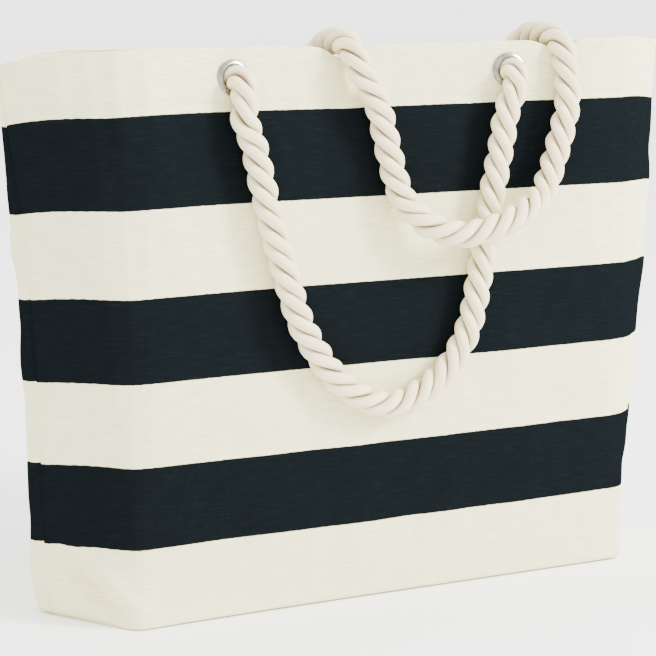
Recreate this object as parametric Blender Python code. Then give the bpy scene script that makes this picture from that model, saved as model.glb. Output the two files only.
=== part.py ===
"""A striped canvas beach bag with two rope handles, standing open on its boxed base.

Metres, +Z up. The origin is the middle of the base, on the surface that the bag stands on.
The front faces -Y. Two sewn panels meet at the side seams and along the middle of the base.
Each rope ends in a stop knot inside the bag, behind an eyelet in the panel.
"""

import functools
import math

import bmesh
import bpy
import numpy as np
from mathutils import Matrix, Vector

# Canvas body
BAG_HEIGHT = 0.370          # cloth height of a panel, from the base to the rim
BASE_LENGTH = 0.380         # boxed base, along X
BASE_DEPTH = 0.130          # boxed base, along Y
BASE_END_BULGE = 0.022      # how far the middle of each base end stands out past its corners
SEAM_FOOT_HALF = BASE_LENGTH / 2 + 0.030      # half width at the side seams, just above the base
SEAM_TOP_HALF = BASE_LENGTH / 2 + 0.065       # half width at the side seams, at the rim
FLARE = 0.06                # how much wider the panels are cut at the rim than at the base
MOUTH_HALF_GAP = 0.023      # from the middle plane to a rim, at the middle of the mouth
WAIST_HALF_GAP = 0.061      # the same, half way down
CANVAS = 0.0012             # canvas thickness, with its lining of folded hem left out
CORNER_SOFTNESS_FOOT = 0.012
CORNER_SOFTNESS_TOP = 0.050
SEAM_ROUNDING = 0.010       # rounding of the tube where the two panels meet
FIT_GAP = 0.0003            # gap between pieces that touch

# Panel mesh
COLUMNS = 42
ROW_SHARES = (0.0, 0.045, 0.09, 0.15, 0.26, 0.42, 0.60, 0.78, 0.93, 1.0)

# Rope and its path over the rims
ROPE_RADIUS = 0.009
ROPE_CORE_RADIUS = 0.0074   # the rope squeezed through an eyelet
CROSSING_X = (-0.016, 0.143)
CROSSING_Y = MOUTH_HALF_GAP + 0.023          # where the rope turns down outside each rim
CROSSING_Z = BAG_HEIGHT - 0.0025
RIM_DIP = 0.0112            # how far the rope presses the rims down
RIM_DIP_WIDTH = 0.020
RIM_DIP_DEPTH = 0.14        # share of the height over which the dip fades out

# Eyelets
EYELET_ARC = 0.104          # from the panel's middle line, along the cloth
EYELET_DROP = 0.0195        # below the rim, along the cloth
EYELET_HOLE = 0.0082
BARREL_WALL = 0.0010
BARREL_CLEARANCE = 0.0005   # between the barrel and the hole in the canvas
FLANGE_RADIUS = 0.0123
FLANGE_HEIGHT = 0.0021
WASHER_THICKNESS = 0.0010
SEAT_GAP = 0.0005           # between the canvas and the metal on each side of it
LIP_REACH = 0.0012          # how far the rolled lip reaches over the washer

# Knots
BEAD_OUT = 0.016            # from the canvas to the middle of the rope's turn outside
BEAD_RADIUS = 0.008
KNOT_RADIUS = 0.019
KNOT_HALF_THICKNESS = 0.0120
KNOT_IN = 0.0168            # from the canvas to the middle of the knot inside

# Bindings over the raw edges inside
BINDING_THICKNESS = 0.003
BINDING_WIDTH = 0.012
BINDING_GAP = 0.0006
SIDE_BINDING_GAP = 0.0016    # the two panels close in towards their seam

# Where the ropes run: points along their middles, as (across, below the bag's height, off the
# canvas). Each list starts and ends where the rope leaves an eyelet or a rim.
HINGE_GAP = 0.0095          # from a rope's turning point to the cut end of the next stretch
RISER_GAP = 0.0108          # the same, where the back rope turns sideways out of its eyelet
FRONT_POINTS = (
    (-0.0985, 0.0480, 0.0040), (-0.0926, 0.0630, 0.0018), (-0.0856, 0.1032, 0.0014),
    (-0.0761, 0.1439, 0.0014), (-0.0675, 0.1755, 0.0014), (-0.0594, 0.1923, 0.0014),
    (-0.0461, 0.2129, 0.0014), (-0.0275, 0.2296, 0.0016), (-0.0050, 0.2382, 0.0018),
    (0.0151, 0.2335, 0.0016), (0.0347, 0.2220, 0.0014), (0.0484, 0.2078, 0.0014),
    (0.0583, 0.1905, 0.0014), (0.0655, 0.1675, 0.0014), (0.0734, 0.1326, 0.0014),
    (0.0823, 0.0984, 0.0014), (0.0902, 0.0707, 0.0018), (0.0960, 0.0470, 0.0040),
)
LOOP_POINTS = (
    (-0.0110, 0.0290, 0.0095), (-0.0010, 0.0400, 0.0070), (0.0047, 0.0677, 0.0030),
    (0.0098, 0.0950, 0.0025), (0.0155, 0.1086, 0.0055), (0.0281, 0.1209, 0.0115),
    (0.0450, 0.1265, 0.0175), (0.0638, 0.1244, 0.0225), (0.0852, 0.1180, 0.0225),
    (0.1040, 0.1100, 0.0150), (0.1188, 0.0999, 0.0070), (0.1327, 0.0722, 0.0025),
    (0.1410, 0.0449, 0.0030), (0.1432, 0.0280, 0.0030),
)
LEFT_RISER_POINTS = (
    (-0.0780, 0.0220, 0.0050), (-0.0580, 0.0230, 0.0045), (-0.0400, 0.0225, 0.0060),
    (-0.0260, 0.0190, 0.0100),
)
RIGHT_RISER_POINTS = (
    (0.1260, 0.0225, 0.0045), (0.1370, 0.0190, 0.0020),
)
TUBE_POINT_SPACING = 0.018

CREAM = (0.79, 0.76, 0.65, 1.0)
NICKEL = (0.62, 0.62, 0.60, 1.0)
COTTON = (0.83, 0.77, 0.68, 1.0)
TAPE = (0.74, 0.71, 0.61, 1.0)


def material(name, colour, roughness, metallic=0.0):
    made = bpy.data.materials.new(name)
    made.use_nodes = True
    shader = made.node_tree.nodes["Principled BSDF"]
    shader.inputs["Base Color"].default_value = colour
    shader.inputs["Roughness"].default_value = roughness
    shader.inputs["Metallic"].default_value = metallic
    return made


def add_object(name, mesh, finish):
    made = bpy.data.objects.new(name, mesh)
    bpy.context.scene.collection.objects.link(made)
    mesh.materials.append(finish)
    return made


def mesh_object(name, points, faces, finish, smooth_angle=40.0):
    mesh = bpy.data.meshes.new(name)
    mesh.from_pydata([tuple(p) for p in points], [], faces)
    work = bmesh.new()
    work.from_mesh(mesh)
    bmesh.ops.recalc_face_normals(work, faces=work.faces)
    work.to_mesh(mesh)
    work.free()
    mesh.shade_smooth()
    mesh.set_sharp_from_angle(angle=math.radians(smooth_angle))
    return add_object(name, mesh, finish)


# ---- The bag's shape ----

def side_length():
    """Cloth from a base corner to the side seam."""
    return math.hypot(BASE_END_BULGE, BASE_DEPTH / 2)


def outline(share, count):
    """The front half of a level section, from the left seam to the right one.

    share runs from 0 at the rim to 1 at the base. The front stretch and the side stretch keep
    their cloth lengths, so the corner between them is where two circles meet.
    """
    grow = 1 + FLARE * (1 - share)
    front = BASE_LENGTH / 2 * grow
    side = side_length() * grow
    seam_base = BASE_LENGTH / 2 + BASE_END_BULGE
    seam_x = SEAM_TOP_HALF + (SEAM_FOOT_HALF - SEAM_TOP_HALF) * share
    seam_x -= (SEAM_FOOT_HALF - seam_base) * share ** 9
    middle_y = MOUTH_HALF_GAP * (1 - share) * (1 - 2 * share)
    middle_y += 4 * WAIST_HALF_GAP * share * (1 - share)
    middle_y += BASE_DEPTH / 2 * share * (2 * share - 1)
    seam = np.array([seam_x, 0.0])
    middle = np.array([0.0, middle_y])
    reach = np.linalg.norm(middle - seam)
    along = (side ** 2 - front ** 2 + reach ** 2) / (2 * reach)
    out = math.sqrt(max(side ** 2 - along ** 2, 0.0))
    toward = (middle - seam) / reach
    corner = seam + along * toward + out * np.array([toward[1], -toward[0]])
    if corner[1] < seam[1]:
        corner = seam + along * toward - out * np.array([toward[1], -toward[0]])

    half = front + side
    softness = CORNER_SOFTNESS_TOP + (CORNER_SOFTNESS_FOOT - CORNER_SOFTNESS_TOP) * share

    def corner_path(arc):
        """Points on the unsoftened outline; past a seam it carries on along the back."""
        arc = np.asarray(arc, float)
        far = np.abs(arc)
        beyond = far > half
        far = np.where(beyond, 2 * half - far, far)
        on_front = far < front
        t = far / front
        bulge = 1 - t ** 2
        x_front = corner[0] * t
        y_front = corner[1] + (middle[1] - corner[1]) * bulge
        u = (far - front) / side
        x_side = corner[0] + (seam[0] - corner[0]) * u
        y_side = corner[1] * (1 - u)
        x = np.where(on_front, x_front, x_side) * np.sign(arc)
        y = np.where(on_front, y_front, y_side) * np.where(beyond, -1, 1)
        return x, -y

    arcs = np.linspace(-half, half, count)
    reach_of = np.minimum(softness, np.maximum(half - np.abs(arcs), SEAM_ROUNDING))
    x = np.zeros(count)
    y = np.zeros(count)
    for weight, offset in ((1, -0.8), (2, -0.4), (3, 0.0), (2, 0.4), (1, 0.8)):
        px, py = corner_path(arcs + offset * reach_of)
        x += weight * px / 9
        y += weight * py / 9
    y[0] = 0.0
    y[-1] = 0.0
    return x, y


def wall_rows(shares, count):
    """The front wall as rows of points, rim first. Each strip of cloth keeps its length."""
    fine = np.linspace(0, 1, 61)
    sections = [outline(share, count) for share in fine]
    x = np.array([s[0] for s in sections])
    y = np.array([s[1] for s in sections])
    step = BAG_HEIGHT / (len(fine) - 1)
    run = np.diff(x, axis=0) ** 2 + np.diff(y, axis=0) ** 2
    rise = np.sqrt(np.maximum(step ** 2 - run, (0.3 * step) ** 2))
    z = np.zeros_like(x)
    z[:-1] = np.cumsum(rise[::-1], axis=0)[::-1]
    for crossing in CROSSING_X:
        fade = np.clip(1 - fine / RIM_DIP_DEPTH, 0, 1)[:, None] ** 1.5
        z -= RIM_DIP * np.exp(-(((x - crossing) / RIM_DIP_WIDTH) ** 2)) * fade
    rows = []
    for share in shares:
        rows.append([
            np.array([np.interp(share, fine, axis[:, j]) for axis in (x, y, z)])
            for j in range(count)
        ])
    return np.array(rows)


@functools.cache
def fine_wall():
    return wall_rows(tuple(np.linspace(0, 1, 31)), 161)


def wall_depth(x, z):
    """How far the outside of a wall is from the middle plane."""
    heights = []
    depths = []
    for row in fine_wall()[::-1]:
        heights.append(np.interp(x, row[:, 0], row[:, 2]))
        depths.append(np.interp(x, row[:, 0], -row[:, 1]))
    return float(np.interp(z, heights, depths))


def panel(name, side, finish):
    """side is -1 for the front and 1 for the back."""
    rows = wall_rows(ROW_SHARES, COLUMNS + 1)
    outer = rows.copy()
    outer[:, 0, 1] = -FIT_GAP / 2
    outer[:, -1, 1] = -FIT_GAP / 2
    along = np.gradient(outer[:, :, :2], axis=1)
    inward = np.stack([-along[:, :, 1], along[:, :, 0]], axis=2)
    inward /= np.linalg.norm(inward, axis=2, keepdims=True)
    inward[:, 0] = (1, 0)
    inward[:, -1] = (-1, 0)
    inner = outer.copy()
    inner[:, :, :2] += CANVAS * inward
    inner[-1, :, 2] = CANVAS
    count = COLUMNS + 1
    levels = len(ROW_SHARES)
    points = np.concatenate([outer.reshape(-1, 3), inner.reshape(-1, 3)])
    points[:, 1] *= -side
    shift = levels * count
    faces = []
    for i in range(levels - 1):
        for j in range(count - 1):
            a, b = i * count + j, i * count + j + 1
            c, d = b + count, a + count
            faces.append((a, b, c, d))
            faces.append((shift + d, shift + c, shift + b, shift + a))
    for j in range(count - 1):
        faces.append((j + 1, j, shift + j, shift + j + 1))
    for i in range(levels - 1):
        for edge in (0, count - 1):
            a, b = i * count + edge, (i + 1) * count + edge
            quad = (a, b, shift + b, shift + a)
            faces.append(quad if edge == 0 else quad[::-1])
    foot = [(levels - 1) * count + j for j in range(count)]
    faces.append(tuple(foot))
    faces.append(tuple(shift + j for j in foot[::-1]))
    faces.append((foot[-1], foot[0], shift + foot[0], shift + foot[-1]))
    return mesh_object(name, points, faces, finish)


def eyelet_frame(x_side, y_side):
    """The middle of an eyelet on the outside of the canvas, and the way it faces."""
    count = 241
    half = (BASE_LENGTH / 2 + side_length()) * (1 + FLARE)
    share = EYELET_DROP / BAG_HEIGHT
    rows = wall_rows((share - 0.02, share, share + 0.02), count)
    column = (x_side * EYELET_ARC / half + 1) / 2 * (count - 1)
    near = int(round(column))
    middle = Vector(rows[1, near])
    across = Vector(rows[1, near + 4]) - Vector(rows[1, near - 4])
    down = Vector(rows[2, near]) - Vector(rows[0, near])
    facing = across.cross(down).normalized()
    if facing.y > 0:
        facing.negate()
    middle.y *= -y_side
    facing.y *= -y_side
    return middle, facing


def place(made, middle, facing):
    made.matrix_world = Matrix.Translation(middle) @ facing.to_track_quat("Z", "X").to_matrix().to_4x4()


# ---- Turned pieces ----

def turned(name, profile, finish, steps=24):
    """A closed profile of (radius, height) turned about local Z. Points on the axis are shared."""
    points = []
    rings = []
    for radius, height in profile:
        if radius == 0:
            rings.append([len(points)] * steps)
            points.append((0.0, 0.0, height))
            continue
        ring = []
        for i in range(steps):
            angle = 2 * math.pi * i / steps
            ring.append(len(points))
            points.append((radius * math.cos(angle), radius * math.sin(angle), height))
        rings.append(ring)
    closes = profile[0][0] != 0
    pairs = list(zip(rings, rings[1:] + rings[:1])) if closes else list(zip(rings, rings[1:]))
    faces = []
    for first, second in pairs:
        for i in range(steps):
            j = (i + 1) % steps
            loop = [first[i], first[j], second[j], second[i]]
            face = tuple(dict.fromkeys(loop))
            if len(face) > 2:
                faces.append(face)
    return mesh_object(name, points, faces, finish)


def grommet_profile():
    back = -(CANVAS + 2 * SEAT_GAP + WASHER_THICKNESS)
    barrel = EYELET_HOLE + BARREL_WALL
    return (
        (FLANGE_RADIUS - 0.0002, SEAT_GAP),
        (FLANGE_RADIUS, SEAT_GAP + 0.0005),
        (FLANGE_RADIUS - 0.0009, FLANGE_HEIGHT - 0.0004),
        (FLANGE_RADIUS - 0.0021, FLANGE_HEIGHT),
        (EYELET_HOLE + 0.0008, FLANGE_HEIGHT - 0.0003),
        (EYELET_HOLE, FLANGE_HEIGHT - 0.0011),
        (EYELET_HOLE, back - 0.0008),
        (EYELET_HOLE + 0.0005, back - 0.0013),
        (barrel + LIP_REACH, back - 0.0013),
        (barrel + LIP_REACH + 0.0003, back - 0.0008),
        (barrel + LIP_REACH, back - FIT_GAP),
        (barrel, back - FIT_GAP),
        (barrel, SEAT_GAP),
    )


def washer_profile():
    top = -(CANVAS + SEAT_GAP)
    bore = EYELET_HOLE + BARREL_WALL + BARREL_CLEARANCE
    return (
        (FLANGE_RADIUS, top),
        (FLANGE_RADIUS, top - WASHER_THICKNESS),
        (bore, top - WASHER_THICKNESS),
        (bore, top),
    )


def knot_profile():
    """The rope's turn outside, its neck through the eyelet and its knot inside, in one."""
    profile = [(0.0, BEAD_OUT + BEAD_RADIUS)]
    bead_end = math.pi - math.asin(ROPE_CORE_RADIUS / BEAD_RADIUS)
    for i in range(1, 7):
        angle = bead_end * i / 6
        profile.append((BEAD_RADIUS * math.sin(angle), BEAD_OUT + BEAD_RADIUS * math.cos(angle)))
    knot_start = math.asin(ROPE_CORE_RADIUS / KNOT_RADIUS)
    for i in range(9):
        angle = knot_start + (math.pi - knot_start) * i / 8
        radius = KNOT_RADIUS * math.sin(angle) if i < 8 else 0.0
        profile.append((radius, -KNOT_IN + KNOT_HALF_THICKNESS * math.cos(angle)))
    return profile


def cut_eyelet(body, name, middle, facing):
    radius = EYELET_HOLE + BARREL_WALL + BARREL_CLEARANCE
    mesh = bpy.data.meshes.new(name)
    work = bmesh.new()
    bmesh.ops.create_cone(work, cap_ends=True, segments=24, radius1=radius, radius2=radius, depth=0.02)
    work.to_mesh(mesh)
    work.free()
    cutter = bpy.data.objects.new(name, mesh)
    bpy.context.scene.collection.objects.link(cutter)
    cutter.hide_render = True
    cutter.display_type = "WIRE"
    place(cutter, middle, facing)
    cut = body.modifiers.new(name, "BOOLEAN")
    cut.operation = "DIFFERENCE"
    cut.solver = "EXACT"
    cut.object = cutter


def eyelet_set(word, x_side, y_side, body, metal, cotton):
    middle, facing = eyelet_frame(x_side, y_side)
    cut_eyelet(body, word + "_cutter", middle, facing)
    place(turned(word + "_grommet", grommet_profile(), metal), middle, facing)
    place(turned(word + "_washer", washer_profile(), metal), middle, facing)
    place(turned(word + "_stop_knot", knot_profile(), cotton, steps=16), middle, facing)


# ---- Bindings ----

def strip(name, sections, finish):
    """A solid through a row of four-cornered sections."""
    points = [p for section in sections for p in section]
    faces = [(0, 1, 2, 3)]
    for i in range(len(sections) - 1):
        a = 4 * i
        for j in range(4):
            k = (j + 1) % 4
            faces.append((a + j, a + k, a + 4 + k, a + 4 + j))
    last = 4 * (len(sections) - 1)
    faces.append((last + 3, last + 2, last + 1, last))
    return mesh_object(name, points, faces, finish)


def side_binding(name, x_side, finish):
    rows = wall_rows(tuple(np.linspace(0.06, 0.97, 10)), 3)
    half = BINDING_THICKNESS / 2
    sections = []
    for row in rows:
        out = abs(row[-1][0]) - CANVAS - SIDE_BINDING_GAP
        z = row[-1][2]
        corners = ((out, -half), (out, half), (out - BINDING_WIDTH, half), (out - BINDING_WIDTH, -half))
        sections.append([(x_side * x, y, z) for x, y in corners])
    return strip(name, sections, finish)


def bottom_binding(finish):
    end = BASE_LENGTH / 2 - BINDING_WIDTH
    low = CANVAS + FIT_GAP
    high = low + BINDING_THICKNESS
    half = BINDING_WIDTH / 2
    corners = ((-half, low), (half, low), (half, high), (-half, high))
    return strip("bottom_binding", [[(x, y, z) for y, z in corners] for x in (-end, end)], finish)


def corner_binding(name, x_side, finish):
    """Along one end of the base, inside, where the boxed corner is sewn across."""
    x, y = outline(1.0, 241)
    ends = np.linspace(-0.86, 0.86, 9) * BASE_DEPTH / 2
    order = np.argsort(y[:60])
    low = CANVAS + FIT_GAP
    high = low + BINDING_THICKNESS
    sections = []
    for end in ends:
        edge = abs(np.interp(-abs(end), y[:60][order], x[:60][order]))
        out = edge - CANVAS - BINDING_GAP - 0.0006
        back = out - BINDING_WIDTH / 2
        corners = ((out, low), (out, high), (back, high), (back, low))
        sections.append([(x_side * px, end, pz) for px, pz in corners])
    return strip(name, sections, finish)


# ---- Ropes ----

def smooth_route(points, spacing):
    """Evenly spaced points on a Catmull-Rom curve through the given ones."""
    known = [Vector(p) for p in points]
    padded = [2 * known[0] - known[1]] + known + [2 * known[-1] - known[-2]]
    dense = []
    for a, b, c, d in zip(padded, padded[1:], padded[2:], padded[3:]):
        for i in range(12):
            t = i / 12
            dense.append(0.5 * (
                2 * b + (c - a) * t + (2 * a - 5 * b + 4 * c - d) * t ** 2
                + (3 * b - a - 3 * c + d) * t ** 3
            ))
    dense.append(known[-1])
    dense = np.array(dense)
    steps = np.linalg.norm(np.diff(dense, axis=0), axis=1)
    along = np.concatenate([[0], np.cumsum(steps)])
    count = max(3, int(round(along[-1] / spacing)) + 1)
    at = np.linspace(0, along[-1], count)
    return np.stack([np.interp(at, along, dense[:, i]) for i in range(3)], axis=1)


def rope(name, route, finish, pivot=None, spacing=TUBE_POINT_SPACING):
    """A plain tube along a route, with its origin on the axis that it swings about."""
    curve = bpy.data.curves.new(name, "CURVE")
    curve.dimensions = "3D"
    curve.bevel_depth = ROPE_RADIUS
    curve.bevel_resolution = 4
    curve.use_fill_caps = True
    origin = Vector(pivot) if pivot is not None else Vector((0, 0, 0))
    points = smooth_route(route, spacing)
    spline = curve.splines.new("POLY")
    spline.points.add(len(points) - 1)
    for target, point in zip(spline.points, points):
        target.co = (*(Vector(point) - origin), 1.0)
    made = bpy.data.objects.new(name, curve)
    bpy.context.scene.collection.objects.link(made)
    curve.materials.append(finish)
    made.location = origin
    return made


def beside(points, side):
    """Points off the front canvas (side -1) or off the back one (side 1)."""
    made = []
    for x, drop, off in points:
        z = BAG_HEIGHT - drop
        made.append((x, side * (wall_depth(x, z) + ROPE_RADIUS + off), z))
    return made


def turn_outside(x_side, y_side):
    """The middle of a rope's turn, just outside its eyelet."""
    middle, facing = eyelet_frame(x_side, y_side)
    return middle + BEAD_OUT * facing


def front_route():
    left = turn_outside(-1, -1)
    right = turn_outside(1, -1)
    drop = Vector((0, 0, HINGE_GAP))
    return [left - drop, *beside(FRONT_POINTS, -1), right - drop]


def loop_route():
    left, right = [Vector((x, -CROSSING_Y, CROSSING_Z - HINGE_GAP)) for x in CROSSING_X]
    drop = Vector((0, 0, 0.007))
    return [left, left - drop, *beside(LOOP_POINTS, -1), right - drop, right]


def riser_route(x_side, points):
    start = turn_outside(x_side, 1) + Vector((RISER_GAP, 0, 0))
    top = Vector((CROSSING_X[0 if x_side < 0 else 1], CROSSING_Y, CROSSING_Z))
    return [start, *beside(points, 1), top - Vector((0, 0, 0.0095)), top]


def run_route(x):
    """Across the mouth, from behind the back rim to the turn at the front one."""
    start = CROSSING_Y - HINGE_GAP
    end = -CROSSING_Y
    return tuple((x, start + (end - start) * i / 4, CROSSING_Z) for i in range(5))


def build():
    for old in list(bpy.data.objects):
        bpy.data.objects.remove(old, do_unlink=True)

    canvas = material("striped canvas", CREAM, 0.9)
    canvas_back = material("striped canvas, back", CREAM, 0.9)
    metal = material("nickel", NICKEL, 0.3, 1.0)
    cotton = material("cotton rope", COTTON, 0.85)
    tape = material("cotton binding", TAPE, 0.9)

    front = panel("front_panel", -1, canvas)
    back = panel("back_panel", 1, canvas_back)
    for word, x_side, y_side, body in (
        ("front_left", -1, -1, front),
        ("front_right", 1, -1, front),
        ("back_left", -1, 1, back),
        ("back_right", 1, 1, back),
    ):
        eyelet_set(word, x_side, y_side, body, metal, cotton)

    side_binding("left_side_binding", -1, tape)
    side_binding("right_side_binding", 1, tape)
    bottom_binding(tape)
    corner_binding("left_corner_binding", -1, tape)
    corner_binding("right_corner_binding", 1, tape)

    pivot = turn_outside(-1, -1)
    rope("front_handle_rope", front_route(), cotton, (0, pivot.y, pivot.z))
    rope("back_rope_left_riser", riser_route(-1, LEFT_RISER_POINTS), cotton, spacing=0.012)
    rope("back_rope_right_riser", riser_route(1, RIGHT_RISER_POINTS), cotton, spacing=0.009)
    for word, x in zip(("left", "right"), CROSSING_X):
        rope(f"back_rope_{word}_run", run_route(x), cotton, (0, CROSSING_Y, CROSSING_Z))
    rope("back_rope_loop", loop_route(), cotton, (0, -CROSSING_Y, CROSSING_Z))


build()
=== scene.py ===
import math

import bpy
import numpy as np
from mathutils import Matrix, Vector


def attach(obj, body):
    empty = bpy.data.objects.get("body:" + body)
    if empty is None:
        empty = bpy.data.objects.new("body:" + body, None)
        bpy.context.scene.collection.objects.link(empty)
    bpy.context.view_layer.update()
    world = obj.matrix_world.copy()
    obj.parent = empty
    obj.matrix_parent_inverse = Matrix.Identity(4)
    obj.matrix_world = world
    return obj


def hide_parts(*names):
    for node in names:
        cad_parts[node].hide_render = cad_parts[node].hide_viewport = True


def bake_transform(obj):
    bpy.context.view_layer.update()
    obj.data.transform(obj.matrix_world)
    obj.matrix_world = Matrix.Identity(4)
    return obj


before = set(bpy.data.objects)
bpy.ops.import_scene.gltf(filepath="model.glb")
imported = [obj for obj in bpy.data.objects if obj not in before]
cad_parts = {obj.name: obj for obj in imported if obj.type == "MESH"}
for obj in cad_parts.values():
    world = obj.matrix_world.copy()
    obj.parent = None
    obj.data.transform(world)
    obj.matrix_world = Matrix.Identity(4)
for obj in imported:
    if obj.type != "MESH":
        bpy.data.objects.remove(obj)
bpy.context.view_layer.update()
print("frame loaded")

# Camera
cameraValues = {
    "azimuth": -25.70,
    "elevation": 10.14,
    "distance": 1.468,
    "lens": 117.14,
    "aim": (-0.0155, 0.0, 0.1733),
}


def addCamera(values):
    turn = math.radians(values["azimuth"])
    rise = math.radians(values["elevation"])
    back = Vector((math.sin(turn) * math.cos(rise), -math.cos(turn) * math.cos(rise), math.sin(rise)))
    data = bpy.data.cameras.new("camera")
    data.lens = values["lens"]
    data.sensor_width = 36.0
    data.clip_start = 0.05
    data.clip_end = 60.0
    camera = bpy.data.objects.new("camera", data)
    bpy.context.scene.collection.objects.link(camera)
    camera.location = Vector(values["aim"]) + back * values["distance"]
    camera.rotation_mode = "QUATERNION"
    camera.rotation_quaternion = (-back).to_track_quat("-Z", "Y")
    bpy.context.scene.camera = camera


addCamera(cameraValues)


# Shared tools

def lengths(points):
    steps = np.linalg.norm(np.diff(points, axis=0), axis=1)
    return np.concatenate([[0.0], np.cumsum(steps)])


def smoothPath(points, spacing):
    known = np.array(points, float)
    padded = np.vstack([2 * known[0] - known[1], known, 2 * known[-1] - known[-2]])
    t = np.arange(16)[:, None] / 16
    parts = []
    for a, b, c, d in zip(padded, padded[1:], padded[2:], padded[3:]):
        parts.append(0.5 * (2 * b + (c - a) * t + (2 * a - 5 * b + 4 * c - d) * t**2
                            + (3 * b - a - 3 * c + d) * t**3))
    dense = np.vstack(parts + [known[-1:]])
    for _ in range(12):  # the joints between the curve's pieces are eased
        dense[1:-1] += 0.4 * (dense[:-2] + dense[2:] - 2 * dense[1:-1])
    along = lengths(dense)
    count = int(round(along[-1] / spacing)) + 1
    at = np.linspace(0, along[-1], count)
    return np.stack([np.interp(at, along, dense[:, i]) for i in range(3)], axis=1)


def carryFrames(path):
    tangents = np.gradient(path, axis=0)
    tangents /= np.linalg.norm(tangents, axis=1, keepdims=True)
    side = np.cross(tangents[0], (0.13, 0.31, 0.94))
    side /= np.linalg.norm(side)
    sides = [side]
    for tangent in tangents[1:]:
        side = side - tangent * side.dot(tangent)
        side /= np.linalg.norm(side)
        sides.append(side)
    sides = np.array(sides)
    return tangents, sides, np.cross(tangents, sides)


def addMesh(name, points, faces, finish, smooth=True, cloth=None):
    mesh = bpy.data.meshes.new(name)
    mesh.from_pydata(np.asarray(points, float).reshape(-1, 3).tolist(), [], faces)
    mesh.validate()
    mesh.materials.append(finish)
    if smooth:
        mesh.shade_smooth()
    if cloth is not None:
        layer = mesh.attributes.new("cloth", "FLOAT_VECTOR", "POINT")
        layer.data.foreach_set("vector", np.asarray(cloth, np.float32).ravel())
    made = bpy.data.objects.new(name, mesh)
    bpy.context.scene.collection.objects.link(made)
    return made


def tubeFaces(rings, sides, start=0, closed=False):
    faces = []
    for i in range(rings - (0 if closed else 1)):
        a, b = start + i * sides, start + (i + 1) % rings * sides
        faces += [(a + j, a + (j + 1) % sides, b + (j + 1) % sides, b + j) for j in range(sides)]
    return faces


# Materials: a wire carries one value through a material and can be used in sums

class Wire:
    def __init__(self, finish, socket):
        self.finish = finish
        self.socket = socket

    def combine(self, operation, left, right):
        kinds = {w.socket.type for w in (left, right) if isinstance(w, Wire)}
        if "RGBA" in kinds:
            blend = {"ADD": "ADD", "MULTIPLY": "MULTIPLY", "SUBTRACT": "SUBTRACT"}[operation]
            return self.finish.mix(1.0, left, right, blend)
        kind = "ShaderNodeVectorMath" if "VECTOR" in kinds else "ShaderNodeMath"
        return self.finish.node(kind, {"operation": operation}, {0: left, 1: right})

    def __add__(self, other):
        return self.combine("ADD", self, other)

    def __radd__(self, other):
        return self.combine("ADD", other, self)

    def __sub__(self, other):
        return self.combine("SUBTRACT", self, other)

    def __rsub__(self, other):
        return self.combine("SUBTRACT", other, self)

    def __mul__(self, other):
        return self.combine("MULTIPLY", self, other)

    def __rmul__(self, other):
        return self.combine("MULTIPLY", other, self)

    def between(self, low, high, soft):
        # 1 from low to high, with edges as wide as soft
        return self.ramp(low - soft / 2, low + soft / 2) * (1 - self.ramp(high - soft / 2, high + soft / 2))

    def ramp(self, low, high, first=0.0, last=1.0):
        settings = {"interpolation_type": "SMOOTHSTEP"}
        sockets = {"Value": self, "From Min": low, "From Max": high, "To Min": first, "To Max": last}
        return self.finish.node("ShaderNodeMapRange", settings, sockets)


class Finish:
    def __init__(self, name, **constants):
        self.material = bpy.data.materials.new(name)
        self.material.use_nodes = True
        self.tree = self.material.node_tree
        self.shader = self.tree.nodes["Principled BSDF"]
        for socket, value in constants.items():
            self.shader.inputs[socket.replace("_", " ")].default_value = value

    def put(self, socket, value):
        if isinstance(value, Wire):
            self.tree.links.new(value.socket, socket)
        elif socket.type == "RGBA" and isinstance(value, (int, float)):
            socket.default_value = (value, value, value, 1.0)
        elif socket.type == "RGBA" and len(value) == 3:
            socket.default_value = (*value, 1.0)
        elif socket.type == "VECTOR" and isinstance(value, (int, float)):
            socket.default_value = (value, value, value)
        else:
            socket.default_value = value

    def node(self, kind, settings=None, sockets=None, output=0):
        made = self.tree.nodes.new(kind)
        for name, value in (settings or {}).items():
            setattr(made, name, value)
        for name, value in (sockets or {}).items():
            self.put(made.inputs[name], value)
        found = made.outputs[output]
        if kind == "ShaderNodeMix":
            found = next(s for s in made.outputs if s.enabled)
        return Wire(self, found)

    def mix(self, factor, first, second, blend="MIX"):
        settings = {"data_type": "RGBA", "blend_type": blend}
        return self.node("ShaderNodeMix", settings, {0: factor, 6: first, 7: second}, 2)

    def attribute(self, name):
        vector = self.node("ShaderNodeAttribute", {"attribute_name": name}, output="Vector")
        return [self.node("ShaderNodeSeparateXYZ", {}, {0: vector}, i) for i in range(3)]

    def vector(self, x, y, z):
        return self.node("ShaderNodeCombineXYZ", {}, {0: x, 1: y, 2: z})

    def noise(self, vector, scale=1.0, detail=2.0, rough=0.5):
        sockets = {"Vector": vector, "Scale": scale, "Detail": detail, "Roughness": rough}
        return self.node("ShaderNodeTexNoise", {}, sockets)

    def bump(self, height, distance, strength=1.0):
        sockets = {"Height": height, "Distance": distance, "Strength": strength}
        self.set("Normal", self.node("ShaderNodeBump", {}, sockets))

    def set(self, name, value):
        self.put(self.shader.inputs[name], value)


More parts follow.
